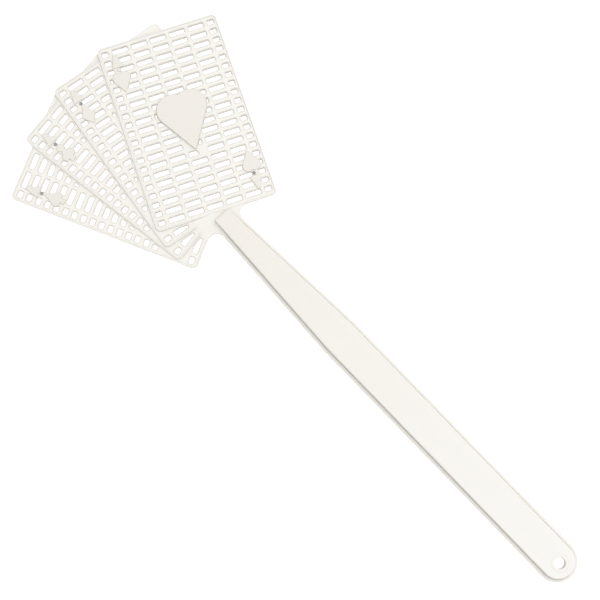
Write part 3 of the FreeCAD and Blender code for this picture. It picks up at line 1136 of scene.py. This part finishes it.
def clipped(shape: Array, normal: Array, reach: float) -> Array:
    """Part of a convex polygon with normal . p >= reach.

    Each side that crosses the line adds the point at share s0 / (s0 - s1) along it.

    Args:
        shape: (n, 2) corners, counter-clockwise.
        normal: unit direction.
        reach: distance of the line along the direction.

    Returns:
        The corners that are left, possibly none.
    """
    if len(shape) == 0:
        return shape
    s = shape @ normal - reach
    t = np.roll(s, -1)
    cross = (s >= 0) != (t >= 0)
    share = s / np.where(s - t == 0, 1.0, s - t)
    mid = shape + share[:, None] * (np.roll(shape, -1, axis=0) - shape)
    both = np.stack([shape, mid], axis=1).reshape(-1, 2)
    return both[np.stack([s >= 0, cross], axis=1).ravel()]


def area(shape: Array) -> float:
    """Area of a polygon by the shoelace sum."""
    if len(shape) < 3:
        return 0.0
    x, y = shape.T
    return float(abs(np.sum(x * np.roll(y, -1) - np.roll(x, -1) * y)) / 2)


@dataclass
class Blank:
    """Convex region that slots keep clear of: a hull of points with a margin round it."""

    points: Array
    margin: float
    directions: Array

    def spare(self, shape: Array) -> Array:
        """The largest part of a slot that one of the blank's tangent lines leaves free.

        Args:
            shape: (n, 2) corners of the slot, counter-clockwise.

        Returns:
            The whole slot where it is clear of the blank, or what is left, possibly none.
        """
        reach = (self.points @ self.directions.T).max(axis=0) + self.margin
        if ((shape @ self.directions.T).min(axis=0) >= reach - SLACK).any():
            return shape
        sides = np.roll(shape, -1, axis=0) - shape
        out = np.stack([sides[:, 1], -sides[:, 0]], axis=1)
        out = out / np.maximum(np.linalg.norm(out, axis=1), TINY)[:, None]
        if ((self.points @ out.T).min(axis=0) - self.margin > (shape @ out.T).max(axis=0)).any():
            return shape
        left = [clipped(shape, n, r) for n, r in zip(self.directions, reach)]
        return max(left, key=area)


def blank(points: Array, margin: float) -> Blank:
    """A Blank from its corners, with the directions of its sides."""
    side = np.roll(points, -1, axis=0) - points
    out = np.stack([side[:, 1], -side[:, 0]], axis=1)
    return Blank(points, margin, out / np.linalg.norm(out, axis=1)[:, None])


@dataclass
class Mark:
    """A raised sign in card axes: shapes that add up to it, and convex parts that cover it."""

    shapes: list[Array]
    parts: list[Array]

    def moved(self, x: float, y: float) -> "Mark":
        """The mark moved by x and y."""
        by = np.array([x, y])
        return Mark([p + by for p in self.shapes], [p + by for p in self.parts])

    def half_turned(self, middle: float) -> "Mark":
        """The mark turned by half a turn about the card's middle."""
        about = np.array([0.0, 2 * middle])
        return Mark([about - p for p in self.shapes], [about - p for p in self.parts])

    def plan(self) -> Trace:
        """Outline of the union of the shapes."""
        if len(self.shapes) == 1:
            return loop(self.shapes[0])
        return cut_out([loop(p) for p in self.shapes])


def heart_mark(lobe_r: float, lobe_x: float, top: float, tip: float) -> Mark:
    """Heart: two lobes and the straight flanks that run from them to the tip.

    A flank touches its lobe at the tip's tangent point, at angle aim - turn from the tip.
    The right lobe's arc runs from there round to the dip, where x = 0, and the left half
    is its mirror image.

    Args:
        lobe_r: radius of a lobe.
        lobe_x: distance of a lobe's centre from the middle line.
        top: height of the lobes' tops.
        tip: height of the tip.

    Returns:
        The heart, covered by its two lobes and a kite.
    """
    yc = top - lobe_r
    reach = math.hypot(lobe_x, yc - tip)
    turn, aim = math.asin(lobe_r / reach), math.atan2(yc - tip, lobe_x)
    run = math.sqrt(reach ** 2 - lobe_r ** 2)
    tx, ty = run * math.cos(aim - turn), tip + run * math.sin(aim - turn)
    a = np.linspace(math.atan2(ty - yc, tx - lobe_x), math.pi - math.acos(lobe_x / lobe_r), 24)
    right = np.stack([lobe_x + lobe_r * np.cos(a), yc + lobe_r * np.sin(a)], axis=1)
    left = right[-2::-1] * np.array([-1.0, 1.0])
    whole = np.concatenate([[(0.0, tip)], right, left])
    kite = np.array([(0, tip), (tx, ty), (lobe_x, yc), (-lobe_x, yc), (-tx, ty)])
    return Mark([whole], [disc_loop(-lobe_x, yc, lobe_r).points,
                          disc_loop(lobe_x, yc, lobe_r).points, kite])


def suit_mark(suit: Suit, w: float, h: float) -> Mark:
    """A suit sign about its own centre.

    Args:
        suit: which sign.
        w: half its width; a heart is 1.26 times as wide.
        h: half its height.

    Returns:
        The sign. A club is four discs on a stem, and a spade a heart upside down on one.
    """
    foot, head = w * 0.42, w * 0.14
    stem = np.array([(-foot, -h), (foot, -h), (head, 0.0), (-head, 0.0)])
    if suit is Suit.HEART:
        wide = w * 1.26
        lobe = wide * 0.636
        return heart_mark(lobe, wide - lobe, h, -h)
    if suit is Suit.DIAMOND:
        whole = np.array([(0, h), (-w, 0), (0, -h), (w, 0)], dtype=float)
        return Mark([whole], [whole])
    if suit is Suit.CLUB:
        r, drop = w * 0.54, -h * 0.3
        centres = ((0, h - r), (r - w, drop), (w - r, drop), (0, 0))
        shapes = [disc_loop(x, y, r, math.radians(12)).points for x, y in centres] + [stem]
        return Mark(shapes, shapes)
    r = w * 0.56
    leaf = heart_mark(r, w - r, h * 0.62, -h)
    return Mark([-p for p in leaf.shapes] + [stem], [-p for p in leaf.parts] + [stem])


@dataclass
class CardFan:
    """Four perforated cards fanned about one point, with their rims and raised marks."""

    pivot_y: float = 306.5
    width: float = 80.6
    top: float = 124.0
    foot: float = 1.9
    corner_r: float = 3.5
    leans: tuple[float, ...] = (-25.0, -8.0, 8.0, 25.0)
    names: tuple[str, ...] = ("front", "second", "third", "rear")
    slot_l: float = 9.8
    slot_w: float = 2.8
    square_l: float = 3.8
    bar: float = 3.0
    row_pitch: float = 6.1
    side_inset: float = 4.7
    row_inset: float = 5.05
    slot_round: float = 0.48
    stack_margin: float = 1.3
    mark_margin: float = 0.35
    least_hole: float = 2.2
    tuck: float = 1.9           # how far a card reaches under the cards in front
    edge_round: float = 0.45
    draft: float = 0.08
    fade: float = 0.75          # width of the painted edge shade on the flat face
    rim_w: float = 1.1
    rim_h: float = 0.3
    rim_clear: float = 17.0     # no rim this far each side of the neck's middle
    rim_clear_y: float = 6.0    # and up to this far above the fan point
    rim_inset: float = 0.12
    rim_round: float = 0.28
    foot_step: float = 0.02     # undersides differ in height, so that none coincide
    columns: int = 5
    mark_inset: float = 10.1
    mark_h: float = 0.5
    mark_sink: float = 0.25
    sign_half: tuple[float, float] = (4.6, 7.0)    # half width and half height
    sign_drop: float = 26.0
    pad_drop: float = 6.7
    pad_l: float = 9.0
    pad_half: tuple[float, float] = (3.6, 0.9)     # half width at its foot and head
    gate_drop: float = 17.4
    gate_r: float = 1.1
    heart_lobe: tuple[float, float] = (10.5, 6.0)  # radius, and distance from the middle
    heart_half: float = 20.0
    heart_h: float = 1.0

    def __post_init__(self) -> None:
        """Reads the card faces' heights from the CAD nodes."""
        self.face = [span(f"card_{name}")[1][2] for name in self.names]
        self.block = span("neck_panel")
        self.middle = (self.top - self.foot) / 2
        self.mark_x = self.width / 2 - self.mark_inset

    def card(self, k: int, grow: float = 0.0, radius: float | None = None) -> Trace:
        """Card k's outline, grown by grow, with rounded corners."""
        half = self.width / 2 + grow
        flat = box_loop(-half, -self.foot - grow, half, self.top + grow)
        flat = placed(flat, self.leans[k], self.pivot_y)
        return softened(flat, self.corner_r + grow if radius is None else radius, ARC_STEP)

    def corner_marks(self, k: int) -> tuple[Mark, Mark, Mark]:
        """Suit sign, tapered pad and dot disc of card k's upper left corner, in card axes."""
        x = -self.mark_x
        sign = suit_mark(Suit(k), *self.sign_half).moved(x, self.top - self.sign_drop)
        head, (wide, narrow) = self.top - self.pad_drop, self.pad_half
        foot = head - self.pad_l
        pad = np.array([(x - wide, foot), (x + wide, foot), (x + narrow, head), (x - narrow, head)])
        gate = disc_loop(x, self.top - self.gate_drop, self.gate_r, math.radians(15)).points
        return sign, Mark([pad], [pad]), Mark([gate], [gate])

    def big_heart(self) -> Mark:
        """The large heart in the middle of the front card."""
        half = self.heart_half
        return heart_mark(*self.heart_lobe, self.middle + half, self.middle - half)

    def marks(self, k: int) -> list[Mark]:
        """Every raised mark of card k, in card axes."""
        found = list(self.corner_marks(k))
        if k == 0:
            found += [m.half_turned(self.middle) for m in found] + [self.big_heart()]
        return found

    def blanks(self, k: int) -> list[Blank]:
        """What card k's slots keep clear of: the cards in front, the block and the marks.

        Args:
            k: the card's number, 0 in front.

        Returns:
            The blanks in the order that they cut a slot.
        """
        found = [blank(self.card(front, 0.0, 0.01).points, self.stack_margin)
                 for front in range(k)]
        (x0, y0, _), (x1, y1, _) = self.block
        found.append(blank(np.array([(x0, y0), (x1, y0), (x1, y1), (x0, y1)]), self.stack_margin))
        for mark in self.marks(k):
            for part in mark.parts:
                whole = placed(loop(part), self.leans[k], self.pivot_y).points
                found.append(blank(whole, self.mark_margin))
        return found

    def slots(self, k: int) -> list[Outline]:
        """Card k's perforation: rows of slots with a square at each end, cut where not clear.

        Args:
            k: the card's number, 0 in front.

        Returns:
            The slots as holes, without those that are left too small.
        """
        square_x = self.width / 2 - self.side_inset
        pitch = self.slot_l + self.bar
        middle = np.arange(self.columns) - self.columns // 2
        u = np.concatenate([pitch * middle, [-square_x, square_x]])
        length = np.array([self.slot_l] * self.columns + [self.square_l] * 2)
        low, high = self.row_inset - self.foot, self.top - self.row_inset
        ease = 0.02
        rows = int((high - low) / self.row_pitch + ease) + 1
        v = (low + high - (rows - 1) * self.row_pitch) / 2 + self.row_pitch * np.arange(rows)
        uu, vv = (g.ravel() for g in np.meshgrid(u, v))
        half = np.stack([np.tile(length / 2, rows), np.full(len(uu), self.slot_w / 2)], axis=1)
        signs = np.array([(-1, -1), (1, -1), (1, 1), (-1, 1)])
        corners = np.stack([uu, vv], axis=1)[:, None] + half[:, None] * signs[None]
        corners = turned(corners, np.full(corners.shape[:2], math.radians(self.leans[k])))
        corners = corners + np.array([0.0, self.pivot_y])
        blanks = self.blanks(k)
        found = []
        for shape in corners:
            for keep_clear in blanks:
                shape = keep_clear.spare(shape)
                if area(shape) < self.least_hole:
                    break
            else:
                found.append(softened(loop(clean(shape)), self.slot_round).reversed())
        return found

    def plate(self, k: int) -> Shell:
        """Card k: what shows of it, tucked a little under the cards in front, with its slots."""
        plan = cut_out([self.card(k)], [self.card(front, -self.tuck) for front in range(k)])
        loops = [softened(shouldered(plan), 0.3)] + self.slots(k)
        outline = together([one.fitted(self.edge_round + self.draft + self.fade) for one in loops])
        return Shell().slab(outline, wall_levels(self.foot_step * (k + 1), self.face[k], 0.12,
                                                 self.edge_round, self.draft, 2, self.fade))

    def rim(self, k: int) -> Shell:
        """The raised bead just inside card k's border, left out across the neck.

        Args:
            k: the card's number, 0 in front.

        Returns:
            The bead's shell, its foot sunk in the card.
        """
        neck = box_loop(-self.rim_clear, 0.0, self.rim_clear, self.pivot_y + self.rim_clear_y)
        away = [self.card(k, -self.rim_w - self.rim_inset), neck]
        away += [self.card(front, -0.1) for front in range(k)]
        plan = cut_out([self.card(k, -self.rim_inset)], away)
        z, draft = self.face[k], 0.03
        outline = softened(shouldered(plan), 0.3).fitted(self.rim_round + draft)
        levels = wall_levels(z - self.rim_h, z + self.rim_h, 0.05, self.rim_round, draft, 3)
        return Shell().slab(outline, levels)

    def raised(self, mark: Mark, k: int, height: float, edge: float, corner: float) -> Shell:
        """A raised mark on card k with a rounded upper edge; its foot is sunk in the card."""
        plan = placed(mark.plan(), self.leans[k], self.pivot_y)
        z = self.face[k]
        levels = wall_levels(z - self.mark_sink, z + height, 0.05, edge, 0.05, 3)
        return Shell().slab(softened(plan, corner), levels)

    def build(self, shop: Workshop) -> None:
        """Makes the head's pieces and settles them.

        The front card's upper dot disc is left without the painted shadow, so it is part of the
        light pad.

        Args:
            shop: what dresses them and puts them on their bodies.
        """
        gates = []
        for k, name in enumerate(self.names):
            shop.settle(self.plate(k), f"card_plate_{name}", Slot.PLASTIC, "head", f"card_{name}")
            shop.settle(self.rim(k), f"card_rim_{name}", Slot.PLASTIC, "head", f"rim_{name}")
            sign, pad, gate = self.corner_marks(k)
            ends = [("", sign, pad, gate)]
            if k == 0:
                ends = [("_upper", sign, pad, gate),
                        ("_lower", *(m.half_turned(self.middle) for m in (sign, pad, gate)))]
            suit = Suit(k).name.lower()
            for end, s, p, g in ends:
                shop.settle(self.raised(s, k, self.mark_h, edge=0.25, corner=0.4),
                            f"sign_{suit}{end}", Slot.RAISED, "head", f"pip_{suit}{end}")
                block = self.raised(p, k, self.mark_h, edge=0.25, corner=0.45)
                # The dot disc; except on the front card's upper corner it is drawn dark, as painted
                # shadow.
                scar = self.raised(g, k, self.mark_h, edge=0.12, corner=0.1)
                if end == "_upper":
                    block = merged([block, scar])
                else:
                    gates.append(scar)
                shop.settle(block, f"corner_pad_{name}{end}", Slot.RAISED, "head",
                            f"index_pad_{name}{end}")
        heart = self.raised(self.big_heart(), 0, self.heart_h, edge=0.5, corner=0.8)
        shop.settle(heart, "centre_heart_boss", Slot.RAISED, "head", "centre_heart")
        # The dark dots, as painted shadow for the shade in small pits.
        shop.settle(merged(gates), "gate_vestiges", Slot.GATE, "head", "gate_marks")


def clean(shape: Array) -> Array:
    """A polygon without corners closer than 0.15 mm to the corner before."""
    gap = np.linalg.norm(shape - np.roll(shape, 1, axis=0), axis=1)
    return shape[gap > 0.15]


def merged(shells: Sequence[Shell]) -> Shell:
    """Several shells as one, with their face indices moved along.

    Args:
        shells: the shells, none of which is changed.

    Returns:
        The new shell.
    """
    whole = Shell()
    for shell in shells:
        first = whole.total
        for points, normals, edge in zip(shell.points, shell.normals, shell.edge):
            whole.add(points, normals, edge)
        whole.quads += [q + first for q in shell.quads]
        whole.tris += [t + first for t in shell.tris]
    return whole


# ---- studio ----
@dataclass
class Studio:
    """Pale floor, soft light and the camera."""

    eye: Triple = (-91.85, 186.66, 721.34)
    sight: Triple = (0.12401, 0.05797, -0.99059)
    upward: Triple = (0.68574, 0.71654, 0.12778)
    lens: float = 69.11
    floor_drop: float = 0.4
    floor_half: float = 3.0
    aim: Triple = (0.0, 0.21, 0.0)
    sky: float = 0.86

    def floor(self) -> None:
        """A wide pale sheet just under the part: a grid of n by n squares."""
        n = 6
        line = np.linspace(-self.floor_half, self.floor_half, n + 1)
        x, y = np.meshgrid(line, line)
        z = np.full(x.size, -self.floor_drop * MM)
        i, j = np.meshgrid(np.arange(n), np.arange(n))
        a = (j * (n + 1) + i).ravel()
        mesh = bpy.data.meshes.new("floor")
        mesh.from_pydata(np.column_stack([x.ravel(), y.ravel(), z]).tolist(), [],
                         np.stack([a, a + 1, a + n + 2, a + n + 1], axis=1).tolist())
        sheet = bpy.data.objects.new("floor", mesh)
        bpy.context.scene.collection.objects.link(sheet)
        paper = bpy.data.materials.new("pale_floor")
        paper.use_nodes = True
        shader = paper.node_tree.nodes["Principled BSDF"]
        for label, value in {"Base Color": (0.9, 0.9, 0.9, 1), "Roughness": 0.9,
                             "Emission Color": (1, 1, 1, 1), "Emission Strength": 0.55}.items():
            shader.inputs[label].default_value = value
        mesh.materials.append(paper)

    def light(self, name: str, place: Triple, size: float,
              power: float) -> None:
        """A square area light at place, in metres, turned towards the part's middle."""
        data = bpy.data.lights.new(name, "AREA")
        data.shape, data.size, data.energy = "SQUARE", size, power
        lamp = bpy.data.objects.new(name, data)
        bpy.context.scene.collection.objects.link(lamp)
        turn = (Vector(self.aim) - Vector(place)).to_track_quat("-Z", "Y")
        lamp.matrix_world = Matrix.Translation(place) @ turn.to_matrix().to_4x4()

    def camera(self) -> None:
        """The camera, from its place, its line of sight and which way is up."""
        data = bpy.data.cameras.new("camera")
        data.lens, data.sensor_width = self.lens, 36.0
        data.clip_start, data.clip_end = 0.01, 20.0
        holder = bpy.data.objects.new("camera", data)
        bpy.context.scene.collection.objects.link(holder)
        back = -Vector(self.sight).normalized()
        right = Vector(self.upward).cross(back).normalized()
        up = back.cross(right)
        turn = Matrix((right, up, back)).transposed().to_4x4()
        holder.matrix_world = Matrix.Translation(Vector(self.eye) * MM) @ turn
        bpy.context.scene.camera = holder

    def build(self) -> None:
        """Sets up the floor, lights, sky and camera."""
        self.floor()
        self.camera()
        self.light("key", (0.80, 0.10, 0.60), size=0.9, power=3.2)
        self.light("fill", (-0.8, -0.3, 1.1), size=0.9, power=1.0)
        world = bpy.data.worlds.new("studio")
        world.use_nodes = True
        sky = world.node_tree.nodes["Background"]
        sky.inputs["Color"].default_value = (1, 1, 1, 1)
        sky.inputs["Strength"].default_value = self.sky
        bpy.context.scene.world = world
        bpy.context.scene.view_settings.view_transform = "Standard"


def main() -> None:
    """Builds the swatter from its handle to its head, then the studio."""
    logging.basicConfig(level=logging.INFO, format="%(name)s: %(message)s")
    shop = Workshop()
    shop.open()
    Handle().build(shop)
    CardFan().build(shop)
    Studio().build()
    bpy.context.view_layer.update()
    LOG.info("sizes written")


if __name__ == "__main__":
    main()
